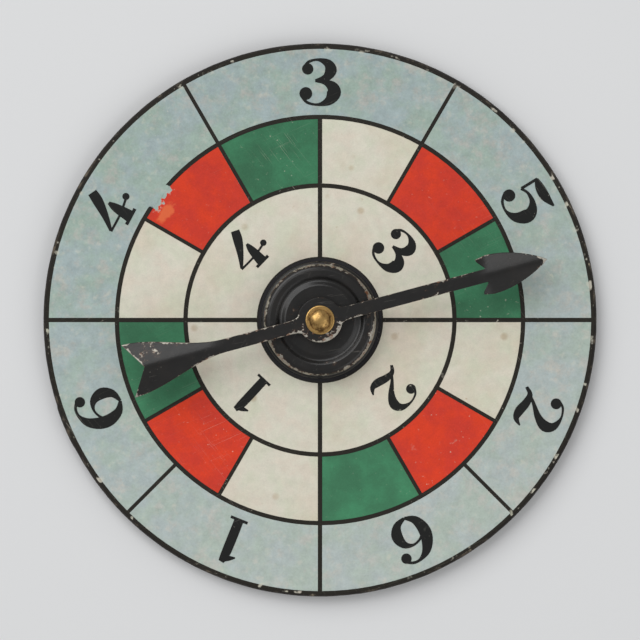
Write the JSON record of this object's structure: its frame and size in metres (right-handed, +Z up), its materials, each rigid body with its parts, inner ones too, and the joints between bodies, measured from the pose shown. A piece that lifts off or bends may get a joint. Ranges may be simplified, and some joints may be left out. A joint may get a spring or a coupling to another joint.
{
  "type": "game spinner",
  "caption": "Round printed board dial with ringed, numbered sectors, and a loose weighted stand whose free-turning arrow picks a number and a colour.",
  "frame": {"origin": "centre of the dial's underside", "axes": "+Z up along the pivot pin, +Y from the middle of the dial to the middle of its first sector, +X to the right of it"},
  "size_m": [0.084, 0.084, 0.0104],
  "materials": {
    "greyboard": "raw grey pulpboard, seen only where the binding has worn through",
    "binding_cloth": "matt black binding cloth, rubbed pale along its edges",
    "lining_paper": "black pebbled paper, dull",
    "face_paper": "aged off-white printing paper, dull, lightly foxed",
    "ink_blue_grey": "blue-grey printed tint, matt",
    "ink_red": "warm red printing ink, matt",
    "ink_green": "deep green printing ink, matt",
    "ink_black": "black printing ink, faintly glossy",
    "felt": "dense dark green wool felt, matted",
    "iron_slug": "cast surface, dull",
    "japanned_tin": "black japanned tinplate, glossy, rubbed at the edges",
    "brass": "tarnished brass, brighter where it rubs"
  },
  "bodies": {
    "dial": {"dial_board": "greyboard", "edge_binding": "binding_cloth", "lining_sheet": "lining_paper", "face_sheet": "face_paper", "print_tint_ring": "ink_blue_grey", "print_red_cells": "ink_red", "print_green_cells": "ink_green", "print_key_lines": "ink_black", "print_numerals": "ink_black"},
    "stand": {"foot_pad": "felt", "ballast": "iron_slug", "stand_cup": "japanned_tin", "pivot_pin": "brass", "spacer_bead": "brass", "top_washer": "brass"},
    "pointer": {"pointer_arm": "japanned_tin", "pointer_eyelet": "brass"}
  },
  "joints": [
    {"name": "stand_lift", "type": "slide", "parent": "dial", "child": "stand", "axis": [0, 0, 1], "range_m": [0, 0.03]},
    {"name": "pointer_spin", "type": "hinge", "parent": "stand", "child": "pointer", "pos_m": [0, 0, 0.0085], "axis": [0, 0, 1], "continuous": true}
  ]
}
